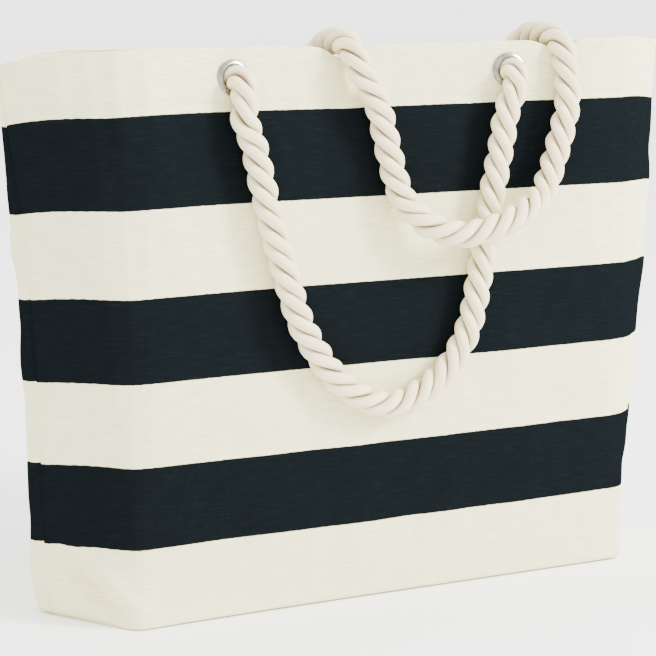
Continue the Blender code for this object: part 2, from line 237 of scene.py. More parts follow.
# The bag's canvas body
bagValues = {
    "height": 0.370,
    "baseLength": 0.3791,
    "baseDepth": 0.1302,
    "baseBulge": 0.0149,
    "seamFoot": 0.2269,
    "seamTop": 0.2547,
    "flare": 0.0606,
    "mouthHalf": 0.0227,
    "waistHalf": 0.0553,
    "seamSlide": (0.0025, 0.0134),  # how far the seams sit round from the sides, at the rim and below
    "seamRound": 0.022,
    "leftFold": 0.0135,  # the left fold stands this much nearer the middle
    "leftFoot": 0.0100,  # the left end is drawn in this much at the floor
    "droop": (0.0095, 0.033, 0.060),  # the rim sinks towards its left end: how much, how far along and down
    "backLower": 0.0030,
    "pinch": (0.0120, 0.042, 0.30),  # the rope draws the back rim in: how much, how wide, how far down
    "sizedAt": 0.25,  # how far from the middle stretch, turn and seamSlide are given
    "eyeletCut": 0.0098,
    "shift": (-0.0002, 0.0027, -0.0041),  # at the rim, half way down and at the base
    "stretch": (-0.0020, -0.0015, 0.0051),
    "turn": (-0.0011, -0.0023, 0.0026),
    "softFoot": 0.012,
    "softTop": 0.050,
    "canvas": 0.0009,
    "hemDepth": 0.0355,
    "hemThickness": 0.0021,
    "stitchDrop": 0.0345,
    "stripes": ((0.0406, 0.1004), (0.1566, 0.2110), (0.2650, 0.3181)),
    "backStripeDrop": 0.0020,
    "cream": (0.800, 0.765, 0.460),
    "creamLines": (0.66, 0.625, 0.355),
    "creamSlubs": (0.90, 0.87, 0.62),
    "creamPosts": (0.68, 0.65, 0.39),
    "navy": (0.0036, 0.0052, 0.0060),
    "navyLines": (0.0072, 0.0094, 0.0104),
    "navySlubs": (0.0125, 0.0155, 0.0165),
}
crossings = (-0.0155, 0.1435)
crossingDip = {"depth": (0.0086, 0.0068), "backDepth": (0.0125, 0.0110), "width": 0.0125, "share": 0.13}
sideCloth = math.hypot(bagValues["baseBulge"], bagValues["baseDepth"] / 2)


def outline(share, arcShare, side):
    # front half of a level section; arcShare runs from -1 at the left seam to 1 at the right one
    v = bagValues
    grow = 1 + v["flare"] * (1 - share)
    seamBase = v["baseLength"] / 2 + v["baseBulge"]
    seamX = v["seamTop"] + (v["seamFoot"] - v["seamTop"]) * share - (v["seamFoot"] - seamBase) * share**9
    middleY = (v["mouthHalf"] * (1 - share) * (1 - 2 * share) + 4 * v["waistHalf"] * share * (1 - share)
               + v["baseDepth"] / 2 * share * (2 * share - 1))
    middle = np.array([0.0, middleY])
    half = (v["baseLength"] / 2 + sideCloth) * grow
    soft = v["softTop"] + (v["softFoot"] - v["softTop"]) * share

    def fold(less, further):
        # where the fold between front and end stands, and how long each is
        front = (v["baseLength"] / 2 - less) * grow
        end = (sideCloth + less) * grow
        seam = np.array([seamX + further, 0.0])
        reach = np.linalg.norm(middle - seam)
        pulled = max(reach / (0.9999 * (front + end)), 1.0)
        f, e = front * pulled, end * pulled
        along = (e**2 - f**2 + reach**2) / (2 * reach)
        out = math.sqrt(max(e**2 - along**2, 0.0))
        toward = (middle - seam) / reach
        across = np.array([toward[1], -toward[0]])
        corner = seam + along * toward + out * across
        if corner[1] < 0:
            corner = seam + along * toward - out * across
        return front, end, seam, corner

    drawnIn = v["seamFoot"] - seamBase
    right = fold(0.0, 0.0)
    left = fold(v["leftFold"], drawnIn * share**9 - v["leftFoot"] * share**40)

    def sharp(arc):
        far = np.abs(arc)
        beyond = far > half
        far = np.where(beyond, 2 * half - far, far)
        found = []
        for front, end, seam, corner in (left, right):
            t = far / front
            u = (far - front) / end
            x = np.where(far < front, corner[0] * t, corner[0] + (seam[0] - corner[0]) * u)
            y = np.where(far < front, corner[1] + (middle[1] - corner[1]) * (1 - t**2), corner[1] * (1 - u))
            found.append((x, y))
        x = np.where(arc < 0, -found[0][0], found[1][0])
        y = np.where(arc < 0, found[0][1], found[1][1])
        return x, -y * np.where(beyond, -1, 1)

    t = min(share / 0.4, 1.0)
    t = t * t * (3 - 2 * t)
    slide = v["seamSlide"][0] * (1 - t) + v["seamSlide"][1] * t
    arcs = np.asarray(arcShare) * half - side * slide * half / v["sizedAt"]
    reachOf = np.minimum(soft, np.maximum(half - np.abs(arcs), v["seamRound"]))
    x = np.zeros_like(arcs)
    y = np.zeros_like(arcs)
    for weight, offset in ((1, -0.8), (2, -0.4), (3, 0.0), (2, 0.4), (1, 0.8)):
        px, py = sharp(arcs + offset * reachOf)
        x += weight * px / 9
        y += weight * py / 9
    return x, y, arcs


def wallGrid(rows, columns, side):
    # one wall: rows from the rim to the base, columns from seam to seam
    shares = np.linspace(0, 1, rows)
    arcShare = np.linspace(-1, 1, columns)
    sections = [outline(share, arcShare, side) for share in shares]
    x = np.array([s[0] for s in sections])
    y = np.array([s[1] for s in sections])
    arcs = np.array([s[2] for s in sections])
    step = bagValues["height"] / (rows - 1)
    run = np.diff(x, axis=0) ** 2 + np.diff(y, axis=0) ** 2
    rise = np.sqrt(np.maximum(step**2 - run, (0.3 * step) ** 2))
    z = np.zeros_like(x)
    z[:-1] = np.cumsum(rise[::-1], axis=0)[::-1]
    k = shares[:, None]
    shift, stretch, turn = [
        bagValues[word][0] * (1 - k) + bagValues[word][1] * 4 * k * (1 - k) + bagValues[word][2] * k
        for word in ("shift", "stretch", "turn")]
    across = x / bagValues["sizedAt"]
    points = np.stack([x + shift + stretch * across, -side * y + turn * across, z], axis=2)
    sink, reach, deep = bagValues["droop"]
    points[:, :, 2] -= sink * np.exp(-(arcs - arcs[:, :1]) / reach - k * bagValues["height"] / deep)
    if side > 0:
        points[:, :, 2] -= bagValues["backLower"] * (1 - k)
        drawn, wide, tall = bagValues["pinch"]
        for crossing in crossings:
            near = np.exp(-(((points[:, :, 0] - crossing) / wide) ** 2))
            points[:, :, 1] -= drawn * near * np.clip(1 - k / tall, 0, 1) ** 1.5
    points[:, :, 2] = np.maximum(points[:, :, 2], 0.0)
    return points, arcs, k * bagValues["height"] + 0 * x


def dips(x, v, side):
    total = np.zeros_like(x)
    for crossing, depth in zip(crossings, crossingDip["depth" if side < 0 else "backDepth"]):
        fade = np.clip(1 - v / bagValues["height"] / crossingDip["share"], 0, 1) ** 1.5
        total += depth * np.exp(-(((x - crossing) / crossingDip["width"]) ** 2)) * fade
    return total


plainRows, plainColumns = 149, 241
plainWalls = {side: wallGrid(plainRows, plainColumns, side)[0] for side in (-1, 1)}


def wallDepth(x, z, side=-1):
    rows = plainWalls[side][::-1, 30:-30]  # the ends near the seams are left out
    heights = [np.interp(x, row[:, 0], row[:, 2]) for row in rows]
    depths = [np.interp(x, row[:, 0], side * row[:, 1]) for row in rows]
    return float(np.interp(z, heights, depths))


# Eyelets
eyeletValues = {
    "arc": 0.104,
    "drop": 0.0195,
    "hole": 0.0082,
    "flange": 0.01225,
    "height": 0.0021,
    "dark": (0.19, 0.185, 0.165),
    "bright": (0.30, 0.29, 0.265),
}


def eyeletPlace(xSide, ySide):
    wall = plainWalls[ySide]
    share = eyeletValues["drop"] / bagValues["height"]
    half = (bagValues["baseLength"] / 2 + sideCloth) * (1 + bagValues["flare"] * (1 - share))
    column = int(round((xSide * eyeletValues["arc"] / half + 1) / 2 * (plainColumns - 1)))
    low, part = divmod(share * (plainRows - 1), 1.0)
    low = int(low)
    middle = wall[low, column] * (1 - part) + wall[low + 1, column] * part
    across = wall[low, column + 4] - wall[low, column - 4]
    down = wall[low + 6, column] - wall[low - 6, column]
    facing = np.cross(across, down)
    facing /= np.linalg.norm(facing)
    return middle, facing * (1 if facing[1] * ySide > 0 else -1)


# Ropes: frontPoints and loopPoints are (across, below the bag's height, off the canvas)
ropeValues = {
    "radius": 0.009,
    "lay": 0.0425,
    "strandRadius": 0.00450,
    "strandOut": 0.00475,
    "strandFlat": 0.86,
    "sides": 16,
    "ringSpacing": 0.0012,
    "color": (0.860, 0.760, 0.500),
    # between is painted shade: the darker colour the strands take towards the grooves where they meet
    "between": (0.20, 0.135, 0.065),
    "clouds": (0.72, 0.62, 0.38),
    "yarnGrooveShade": (0.52, 0.44, 0.32),
    "squeeze": (0.14, 0.006, 0.0065),  # thinner in an eyelet: how much, how far along and how wide
}
frontPoints = (
    (-0.0985, 0.0480, 0.0024), (-0.0926, 0.0630, 0.0014), (-0.0856, 0.1032, 0.0012),
    (-0.0761, 0.1439, 0.0012), (-0.0675, 0.1755, 0.0012), (-0.0594, 0.1923, 0.0012),
    (-0.0461, 0.2129, 0.0012), (-0.0275, 0.2296, 0.0014), (-0.0050, 0.2382, 0.0016),
    (0.0151, 0.2335, 0.0014), (0.0347, 0.2220, 0.0012), (0.0484, 0.2078, 0.0012),
    (0.0583, 0.1905, 0.0012), (0.0655, 0.1675, 0.0012), (0.0734, 0.1326, 0.0012),
    (0.0823, 0.0984, 0.0012), (0.0902, 0.0707, 0.0014), (0.0960, 0.0470, 0.0024),
)
loopPoints = (
    (-0.0010, 0.0400, 0.0050), (0.0047, 0.0677, 0.0022), (0.0098, 0.0950, 0.0025),
    (0.0155, 0.1086, 0.0055), (0.0281, 0.1209, 0.0115), (0.0450, 0.1265, 0.0170),
    (0.0638, 0.1244, 0.0205), (0.0852, 0.1180, 0.0205), (0.1040, 0.1100, 0.0140),
    (0.1188, 0.0999, 0.0065), (0.1327, 0.0722, 0.0025), (0.1414, 0.0449, 0.0025),
)
# over the mouth, as (x, y, z)
overLeft = (
    (-0.0760, 0.0500, 0.3430), (-0.0580, 0.0485, 0.3370), (-0.0420, 0.0440, 0.3310),
    (-0.0280, 0.0390, 0.3320), (-0.0185, 0.0340, 0.3420), (-0.0145, 0.0265, 0.3550),
    (-0.0135, 0.0165, 0.3640), (-0.0138, 0.0040, 0.3680), (-0.0145, -0.0090, 0.3698),
    (-0.0150, -0.0210, 0.3698), (-0.0149, -0.0315, 0.3662), (-0.0136, -0.0390, 0.3580),
    (-0.0105, -0.0435, 0.3475),
)
overRight = (
    (0.1437, -0.0470, 0.3440), (0.1441, -0.0430, 0.3560), (0.1442, -0.0355, 0.3672),
    (0.1442, -0.0230, 0.3718), (0.1444, -0.0090, 0.3718), (0.1446, 0.0040, 0.3702),
    (0.1448, 0.0170, 0.3658), (0.1445, 0.0265, 0.3570), (0.1430, 0.0330, 0.3450),
    (0.1385, 0.0380, 0.3360), (0.1300, 0.0420, 0.3340), (0.1205, 0.0445, 0.3370),
)


def offCanvas(points, side=-1):
    made = []
    for x, drop, off in points:
        z = bagValues["height"] - drop
        made.append((x, side * (wallDepth(x, z, side) + ropeValues["radius"] + off), z))
    return made


def outOfEyelet(xSide, ySide, toward):
    # from behind the washer, through the barrel, and round towards the next stretch
    middle, facing = eyeletPlace(xSide, ySide)
    toward = np.array(toward, float)
    return [middle - 0.0065 * facing, middle - 0.001 * facing, middle + 0.0055 * facing + 0.0006 * toward,
            middle + 0.0105 * facing + 0.0045 * toward, middle + 0.0128 * facing + 0.0125 * toward]


frontPath = smoothPath(
    outOfEyelet(-1, -1, (0.05, 0, -1)) + offCanvas(frontPoints) + outOfEyelet(1, -1, (-0.05, 0, -1))[::-1],
    ropeValues["ringSpacing"])
backPath = smoothPath(
    outOfEyelet(-1, 1, (1, 0, -0.12)) + list(overLeft) + offCanvas(loopPoints)
    + list(overRight) + outOfEyelet(1, 1, (1, 0, -0.12))[::-1],
    ropeValues["ringSpacing"])


def squeeze(path):
    # the rope is pressed thinner where it passes an eyelet
    deep, where, width = ropeValues["squeeze"]
    along = lengths(path)
    near = np.minimum(along, along[-1] - along)
    return 1 - deep * np.exp(-(((near - where) / width) ** 2))


def strandRings(path, phase, thin):
    # three strands wound round the path, as (strand, ring, side, xyz)
    v = ropeValues
    tangents, sides, ups = carryFrames(path)
    along = lengths(path) / thin.mean()
    thin = thin[:, None]
    random = np.random.default_rng(7)
    strands = []
    for strand in range(3):
        wander = 0.05 * np.sin(along * 2 * math.pi / 0.061 + random.uniform(0, 6))
        angle = phase + strand * 2 * math.pi / 3 - along * 2 * math.pi / v["lay"] + wander
        out = np.cos(angle)[:, None] * sides + np.sin(angle)[:, None] * ups
        around = -np.sin(angle)[:, None] * sides + np.cos(angle)[:, None] * ups
        middle = path + v["strandOut"] * thin * out
        heading = tangents - v["strandOut"] * 2 * math.pi / v["lay"] * around
        heading /= np.linalg.norm(heading, axis=1, keepdims=True)
        across = np.cross(heading, out)
        plump = 1 + 0.018 * np.sin(along * 2 * math.pi / 0.037 + random.uniform(0, 6))[:, None]
        ring = []
        for side in range(v["sides"]):
            turn = 2 * math.pi * side / v["sides"] + math.pi  # each ring starts on its hidden side
            size = v["strandRadius"] * thin * plump
            ring.append(middle + size * (math.cos(turn) * out + v["strandFlat"] * math.sin(turn) * across))
        strands.append(np.stack(ring, axis=1))
    return np.array(strands)


def ropePiece(name, rings, path, first, last, finish):
    count = last - first + 1
    sides = rings.shape[2]
    points, faces, cloth = [], [], []
    along = lengths(path)
    for strand in range(3):
        start = len(points)
        part = rings[strand, first:last + 1]
        points += part.reshape(-1, 3).tolist()
        turn = np.arange(sides) / sides
        crest = 0.5 - 0.5 * np.cos(2 * math.pi * turn)
        for ring in range(first, last + 1):
            cloth += [(turn[s] + strand * 0.37, along[ring], crest[s]) for s in range(sides)]
        faces += tubeFaces(count, sides, start)
        for ring, flip in ((0, True), (count - 1, False)):  # each end is closed with its own points
            cap = len(points)
            points += part[ring].tolist()
            cloth += [(0.0, along[first + ring], 0.3)] * sides
            loop = list(range(cap, cap + sides))
            faces.append(tuple(loop[::-1] if flip else loop))
    return addMesh(name, points, faces, finish, cloth=cloth)


def ropeFinish():
    f = Finish("twisted cotton", Roughness=0.95, Specular_IOR_Level=0.0)
    around, along, crest = f.attribute("cloth")
    # yarns lie nearly straight along each strand
    yarns = (around * 15.0 + along * 95.0) * (2 * math.pi)
    lines = f.node("ShaderNodeMath", {"operation": "SINE"}, {0: yarns})
    fibres = f.noise(f.vector(around * 60.0, along * 900.0 + around * 90.0, 0.0), 1.0, 3.0, 0.6)
    cloudy = f.noise(f.vector(around * 3.0, along * 60.0, 4.0), 1.0, 2.0)
    # painted shade: each strand darkens from its crest towards the grooves where it presses against the
    # other strands
    shade = crest.ramp(0.26, 0.74)
    base = f.mix(shade, ropeValues["between"], ropeValues["color"])
    base = f.mix(cloudy.ramp(0.35, 0.75, 0.0, 0.22), base, ropeValues["clouds"])
    # painted shade: the valleys between the yarns are darkened where the yarn bump is low
    base = f.mix(lines.ramp(-1.0, 0.0, 0.10, 0.0), base, ropeValues["yarnGrooveShade"])
    f.set("Base Color", base)
    f.bump(lines * 0.22 + fibres * 0.8, 0.0004)
    return f.material


cotton = ropeFinish()
frontRings = strandRings(frontPath, 0.4, squeeze(frontPath))
frontRope = ropePiece("front_handle", frontRings, frontPath, 0, len(frontPath) - 1, cotton)
backRings = strandRings(backPath, 1.1, squeeze(backPath))
inFront = np.nonzero(backPath[:, 1] < -0.010)[0]
splitLeft, splitRight = int(inFront[0]), int(inFront[-1])
backLeftRope = ropePiece("back_handle_left_end", backRings, backPath, 0, splitLeft, cotton)
backLoopRope = ropePiece("back_handle_loop", backRings, backPath, splitLeft, splitRight, cotton)
backRightRope = ropePiece("back_handle_right_end", backRings, backPath, splitRight, len(backPath) - 1,
                          cotton)
print("ropes twisted:", round(lengths(frontPath)[-1], 3), round(lengths(backPath)[-1], 3), "m")


def declareRope(nodes):
    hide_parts(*nodes)


# Panels

def waves(u, v, seed, count=14, shortest=0.05, longest=0.22):
    random = np.random.default_rng(seed)
    total = np.zeros_like(u)
    for _ in range(count):
        length = math.exp(random.uniform(math.log(shortest), math.log(longest)))
        turn = random.uniform(0, math.pi)
        phase = random.uniform(0, 2 * math.pi)
        total += length * np.sin((u * math.cos(turn) + v * math.sin(turn)) * 2 * math.pi / length + phase)
    return total / (longest * math.sqrt(count / 2))


def crease(u, v, start, end, width):
    # strongest half way from start to end, fading past the ends and to the sides
    a, b = np.array(start), np.array(end)
    line = b - a
    t = ((u - a[0]) * line[0] + (v - a[1]) * line[1]) / line.dot(line)
    near = np.clip(t, 0, 1)
    away = np.hypot(u - a[0] - near * line[0], v - a[1] - near * line[1])
    swell = 0.35 + 0.65 * np.sin(np.clip(t, 0, 1) * math.pi)
    return np.exp(-((away / width) ** 2)) * swell


frontCreases = (  # start and end as (across, below the rim), width, depth
    ((-0.238, 0.322), (-0.184, 0.368), 0.0055, -0.0062),
    ((-0.229, 0.311), (-0.173, 0.358), 0.0065, 0.0052),
    ((-0.243, 0.338), (-0.222, 0.367), 0.0050, -0.0022),
    ((-0.240, 0.290), (-0.232, 0.330), 0.0060, -0.0016),
    ((0.243, 0.322), (0.194, 0.366), 0.0050, -0.0010),
    ((-0.215, 0.002), (-0.190, 0.120), 0.0160, -0.0012),
    ((-0.170, 0.000), (-0.160, 0.090), 0.0180, 0.0018),
    ((-0.150, 0.000), (-0.132, 0.120), 0.0130, -0.0022),
    ((0.180, 0.010), (0.195, 0.150), 0.0150, -0.0008),
)
backCreases = (
    ((-0.245, 0.320), (-0.194, 0.366), 0.0050, -0.0012),
    ((0.245, 0.315), (0.192, 0.364), 0.0045, -0.0013),
    ((-0.060, 0.030), (-0.010, 0.200), 0.0200, -0.0012),
    ((0.120, 0.010), (0.060, 0.160), 0.0170, -0.0012),
    ((0.215, 0.002), (0.200, 0.120), 0.0150, -0.0010),
)


clothValues = {
    "wallRows": 186,
    "baseRows": 23,
    "columns": 261,
    "waves": 0.0013,
    "ripples": 0.0007,
    "mostOut": 0.0045,
    "flatAtSeam": 0.020,
    "seamTuck": (0.0013, 0.0022),  # how deep and how wide
    "footTuck": (0.0011, 0.0020),
    "footRoll": (0.0005, 0.0040, 0.006),  # and how far above the floor
    "stitchPull": (0.00025, 0.0016),
    "puckers": (0.00012, 0.006, 0.0135),  # and how far from one to the next
}


def bell(distance, width):
    return np.exp(-((distance / width) ** 2))


def panelGrid(side, seed, creases):
    v, c = bagValues, clothValues
    wall, arcs, drop = wallGrid(c["wallRows"], c["columns"], side)
    t = np.linspace(0, 1, c["baseRows"])[1:, None, None]
    edge = wall[-1]
    # both panels end on the base's middle line
    middle = (edge + wallGrid(2, c["columns"], -side)[0][-1]) / 2
    grid = np.concatenate([wall, edge + (middle - edge) * t])
    arcs = np.concatenate([arcs, np.repeat(arcs[-1:], c["baseRows"] - 1, axis=0)])
    drop = np.concatenate([drop, v["height"] + t[:, :, 0] * np.linalg.norm(middle - edge, axis=1)])
    start, stop = c["wallRows"] - 6, c["wallRows"] + 6
    for _ in range(3):  # the fold under the base is rounded
        around = grid[start - 1:stop - 1] + grid[start + 1:stop + 1]
        grid[start:stop] += 0.25 * (around - 2 * grid[start:stop])
    grid[:, :, 2] -= dips(grid[:, :, 0], drop, side)
    normal = np.cross(np.gradient(grid, axis=0), np.gradient(grid, axis=1)) * -side
    normal /= np.maximum(np.linalg.norm(normal, axis=2, keepdims=True), 1e-12)
    fromSeam = np.minimum(arcs - arcs[:, :1], arcs[:, -1:] - arcs)
    fade = np.clip(fromSeam / c["flatAtSeam"], 0, 1)
    onWall = np.clip((v["height"] - 0.002 - drop) / 0.012, 0, 1)
    push = c["waves"] * waves(arcs, drop, seed) + c["ripples"] * waves(arcs, drop, seed + 1, 14, 0.02, 0.07)
    for first, last, width, depth in creases:
        push += depth * crease(arcs, drop, first, last, width)
    push = np.minimum(push, c["mostOut"]) * fade * onWall
    # the panels turn in to their seams
    push -= c["seamTuck"][0] * bell(fromSeam, c["seamTuck"][1]) * onWall
    pastFold = np.clip((np.abs(arcs) - v["baseLength"] / 2 + 0.004) / 0.006, 0, 1)
    push -= c["footTuck"][0] * bell(drop - v["height"], c["footTuck"][1]) * pastFold
    rollOut, rollWidth, rollRise = c["footRoll"]
    push += rollOut * bell(drop - v["height"] + rollRise, rollWidth) * pastFold
    # the sewn hem pulls in a little along its stitches
    fromStitches = drop - v["stitchDrop"]
    push -= c["stitchPull"][0] * bell(fromStitches, c["stitchPull"][1]) * fade
    deep, tall, pitch = c["puckers"]
    puckers = np.sin(arcs * 2 * math.pi / pitch + 2 * np.sin(arcs * 31))
    push += deep * puckers * bell(fromStitches, tall) * fade
    outer = grid + normal * push[:, :, None]
    outer[:, :, 2] = np.maximum(outer[:, :, 2], 0.0)
    return outer, normal, arcs, drop


def addPanel(name, side, seed, creases, finish):
    outer, normal, arcs, drop = panelGrid(side, seed, creases)
    v = bagValues
    hem = np.clip((v["hemDepth"] - drop) / 0.0010 + 0.5, 0, 1)
    thickness = v["canvas"] + (v["hemThickness"] - v["canvas"]) * hem
    inward = normal.copy()
    inward[:, 0] = (-1, 0, 0)
    inward[:, -1] = (1, 0, 0)
    inner = outer - inward * thickness[:, :, None]
    under = np.clip((drop - v["height"] - 0.004) / 0.004, 0, 1)
    inner[:, :, 2] = np.maximum(inner[:, :, 2], v["canvas"] * under)
    rows, columns = arcs.shape
    up = outer[0] - outer[1]
    up /= np.linalg.norm(up, axis=1, keepdims=True)
    lip = []
    for turn in (30, 60, 90, 120, 150):  # the folded rim is round
        angle = math.radians(turn)
        middle = (outer[0] + inner[0]) / 2
        lip.append(middle + (outer[0] - inner[0]) / 2 * math.cos(angle)
                   + up * thickness[0, :, None] / 2 * math.sin(angle))
    layers = np.concatenate([outer[::-1], np.array(lip), inner])
    flat = 0 * arcs
    inside = flat + 1
    inside[:, [0, -1]] = 0  # the cut edges at the seams are printed through
    cloth = np.concatenate([
        np.stack([arcs, drop, flat], axis=2)[::-1],
        np.repeat(np.stack([arcs[:1], flat[:1], flat[:1]], axis=2), len(lip), axis=0),
        np.stack([arcs, drop, inside], axis=2)])
    total = len(layers)
    middles = [eyeletPlace(x, side)[0] for x in (-1, 1)]
    faces = []
    centre = (layers[:-1, :-1] + layers[1:, :-1] + layers[:-1, 1:] + layers[1:, 1:]) / 4
    away = np.min([np.linalg.norm(centre - m, axis=2) for m in middles], axis=0)
    cut = away < v["eyeletCut"]
    for i in range(total - 1):
        for j in range(columns - 1):
            if cut[i, j]:
                continue
            a = i * columns + j
            faces.append((a, a + 1, a + columns + 1, a + columns))
    # the seam edges and the base's middle are closed
    for j in (0, columns - 1):
        for i in range(rows - 1):
            a, b = i * columns + j, (i + 1) * columns + j
            c, d = (total - 1 - i) * columns + j, (total - 2 - i) * columns + j
            faces.append((a, b, d, c) if j == 0 else (c, d, b, a))
    last = (total - 1) * columns
    for j in range(columns - 1):
        faces.append((j, last + j, last + j + 1, j + 1))
    if side > 0:
        cloth = cloth + np.array([0, v["backStripeDrop"], 0])
        cloth[:, :, 0] *= -1
        faces = [face[::-1] for face in faces]
    made = addMesh(name, layers, faces, finish, cloth=cloth.reshape(-1, 3))
    made.data.set_sharp_from_angle(angle=math.radians(50))
    return made


def canvasFinish(name, seed):
    v = bagValues
    f = Finish(name, Roughness=0.95, Specular_IOR_Level=0.0)
    across, drop, inside = f.attribute("cloth")
    lines = f.noise(f.vector(across * 55.0, drop * 1500.0, seed), 1.0, 3.0, 0.6)
    posts = f.noise(f.vector(across * 1500.0, drop * 70.0, seed + 3), 1.0, 2.0, 0.6)
    slubs = f.noise(f.vector(across * 90.0, drop * 1200.0, seed + 7), 1.0, 2.0, 0.5)
    grain = f.noise(f.vector(across * 1100.0, drop * 1100.0, seed + 9), 1.0, 2.0, 0.7)
    waver = f.noise(f.vector(across * 260.0, seed, 0.0), 1.0, 2.0) * 0.0009 - 0.00045
    at = drop + waver
    printed = 0.0
    for low, high in v["stripes"]:
        printed = at.between(low, high, 0.0005) + printed
    printed = printed * (1 - inside * 0.94)
    cream = f.mix(lines.ramp(0.42, 0.66, 0.0, 0.85), v["cream"], v["creamLines"])
    cream = f.mix(slubs.ramp(0.60, 0.76, 0.0, 0.45), cream, v["creamSlubs"])
    cream = f.mix(posts.ramp(0.52, 0.72, 0.0, 0.22), cream, v["creamPosts"])
    navy = f.mix(lines.ramp(0.45, 0.72, 0.0, 0.5), v["navy"], v["navyLines"])
    navy = f.mix(slubs.ramp(0.62, 0.78, 0.0, 0.45), navy, v["navySlubs"])
    navy = f.mix(grain.ramp(0.58, 0.80, 0.0, 0.40), navy, v["navySlubs"])
    f.set("Base Color", f.mix(printed, cream, navy))
    f.bump(lines * 0.6 + posts * 0.4 + grain * 0.3, 0.0006, 0.9)
    return f.material


frontCanvas = canvasFinish("front canvas", 1.0)
backCanvas = canvasFinish("back canvas", 21.0)
frontPanel = addPanel("front_panel_cloth", -1, 11, frontCreases, frontCanvas)
backPanel = addPanel("back_panel_cloth", 1, 31, backCreases, backCanvas)
print("panels sewn")


# Stitches along the hem
stitchValues = {
    "length": 0.0027,
    "gap": 0.0010,
    "fromSeam": 0.003,
    "thread": 0.00028,
    "rise": (-0.00015, 0.00022, 0.0003, 0.00022, -0.00015),  # off the cloth, along each stitch
    "sides": 6,
    "color": (0.80, 0.78, 0.68),
    "twist": (0.66, 0.64, 0.55),
}


def addStitches(name, side, seed, creases, finish):
    v = stitchValues
    outer, normal, _, _ = panelGrid(side, seed, creases)
    row = bagValues["stitchDrop"] / bagValues["height"] * (clothValues["wallRows"] - 1)
    low, part = int(row), row - int(row)
    line = outer[low] * (1 - part) + outer[low + 1] * part
    facing = normal[low]
    along = lengths(line)
    rise = np.array(v["rise"])[:, None]
    rings, sides = len(rise), v["sides"]
    points, faces, cloth = [], [], []
    for number in range(int((along[-1] - 2 * v["fromSeam"]) / (v["length"] + v["gap"]))):
        start = v["fromSeam"] + number * (v["length"] + v["gap"])
        at = start + np.linspace(0, 1, rings) * v["length"]
        middle = np.stack([np.interp(at, along, line[:, i]) for i in range(3)], axis=1)
        away = np.stack([np.interp(at, along, facing[:, i]) for i in range(3)], axis=1)
        middle = middle + away * rise
        tangents = np.gradient(middle, axis=0)
        tangents /= np.linalg.norm(tangents, axis=1, keepdims=True)
        across = np.cross(tangents, away)
        first = len(points)
        for i in range(rings):
            for s in range(sides):
                turn = 2 * math.pi * s / sides
                out = math.cos(turn) * away[i] + math.sin(turn) * across[i]
                points.append(middle[i] + v["thread"] * out)
                cloth.append((number * 0.3, i * 0.2, s / sides))
        faces += tubeFaces(rings, sides, first)
        last = first + (rings - 1) * sides
        faces += [tuple(range(first + sides - 1, first - 1, -1)), tuple(range(last, last + sides))]
    return addMesh(name, points, faces, finish, cloth=cloth)


def threadFinish():
    f = Finish("sewing thread", Roughness=0.7)
    number, along, _ = f.attribute("cloth")
    twist = f.noise(f.vector(number, along * 8.0, 0.0), 3.0, 2.0)
    f.set("Base Color", f.mix(twist, stitchValues["color"], stitchValues["twist"]))
    return f.material


thread = threadFinish()
frontStitches = addStitches("front_hem_stitches", -1, 11, frontCreases, thread)
backStitches = addStitches("back_hem_stitches", 1, 31, backCreases, thread)


# Eyelets: a flanged barrel outside, a washer inside, both turned

def turned(name, profile, finish, place, steps=72):
    middle, facing = place
    profile = np.array(profile)
    turns = np.linspace(0, 2 * math.pi, steps, endpoint=False)
    points = np.array([[(r * math.cos(a), r * math.sin(a), h) for r, h in profile] for a in turns])
    facing = Vector(facing)
    matrix = Matrix.Translation(Vector(middle)) @ facing.to_track_quat("Z", "X").to_matrix().to_4x4()
    made = addMesh(name, points, tubeFaces(steps, len(profile), closed=True), finish)
    made.data.transform(matrix)
    made.data.set_sharp_from_angle(angle=math.radians(35))
    return made


def arcPoints(middle, radius, start, end, count):
    turns = np.radians(np.linspace(start, end, count))
    return [(middle[0] + radius * math.cos(t), middle[1] + radius * math.sin(t)) for t in turns]


def grommetProfile():
    e = eyeletValues
    hole, flange, height = e["hole"], e["flange"], e["height"]
    back = -(bagValues["hemThickness"] + 0.0016)
    profile = [(flange - 0.0002, 0.0001), (flange, 0.0004)]
    profile += arcPoints((flange - 0.0012, 0.0006), 0.0012, 0, 75, 5)
    profile += [(flange - 0.0016, height - 0.00025), (flange - 0.0022, height)]
    profile += arcPoints((hole + 0.0011, height - 0.0011), 0.0011, 90, 180, 6)
    profile += [(hole, back + 0.0003)]
    profile += arcPoints((hole + 0.0009, back + 0.0002), 0.0009, 180, 350, 8)
    profile += [(hole + 0.0010, back + 0.0006), (hole + 0.0010, 0.0)]
    return profile


def washerProfile():
    top = -bagValues["hemThickness"] + 0.0001
    outer, inner = eyeletValues["flange"], eyeletValues["hole"] + 0.0014
    return [(outer, top), (outer, top - 0.0004), (outer - 0.0005, top - 0.0008),
            (inner + 0.0006, top - 0.0010), (inner, top - 0.0007), (inner, top)]


def nickelFinish():
    f = Finish("nickel", Metallic=1.0, Roughness=0.2)
    where = f.node("ShaderNodeTexCoord", output="Object")
    soft = f.noise(where * 130.0, 1.0, 3.0)
    fine = f.noise(where * 1400.0, 1.0, 3.0, 0.6)
    f.set("Base Color", f.mix(soft.ramp(0.3, 0.7), eyeletValues["dark"], eyeletValues["bright"]))
    f.set("Roughness", soft.ramp(0.3, 0.7, 0.14, 0.24) + fine.ramp(0.5, 0.8, 0.0, 0.10))
    f.bump(fine, 0.00003)
    return f.material


nickel = nickelFinish()
corners = {"front_left": (-1, -1), "front_right": (1, -1), "back_left": (-1, 1), "back_right": (1, 1)}
for word, (xSide, ySide) in corners.items():
    place = eyeletPlace(xSide, ySide)
    for kind, profile in (("grommet", grommetProfile()), ("washer", washerProfile())):
        piece = turned(f"{word}_{kind}_metal", profile, nickel, place)
        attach(piece, "bag")
        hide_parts(f"{word}_{kind}")
print("eyelets set")


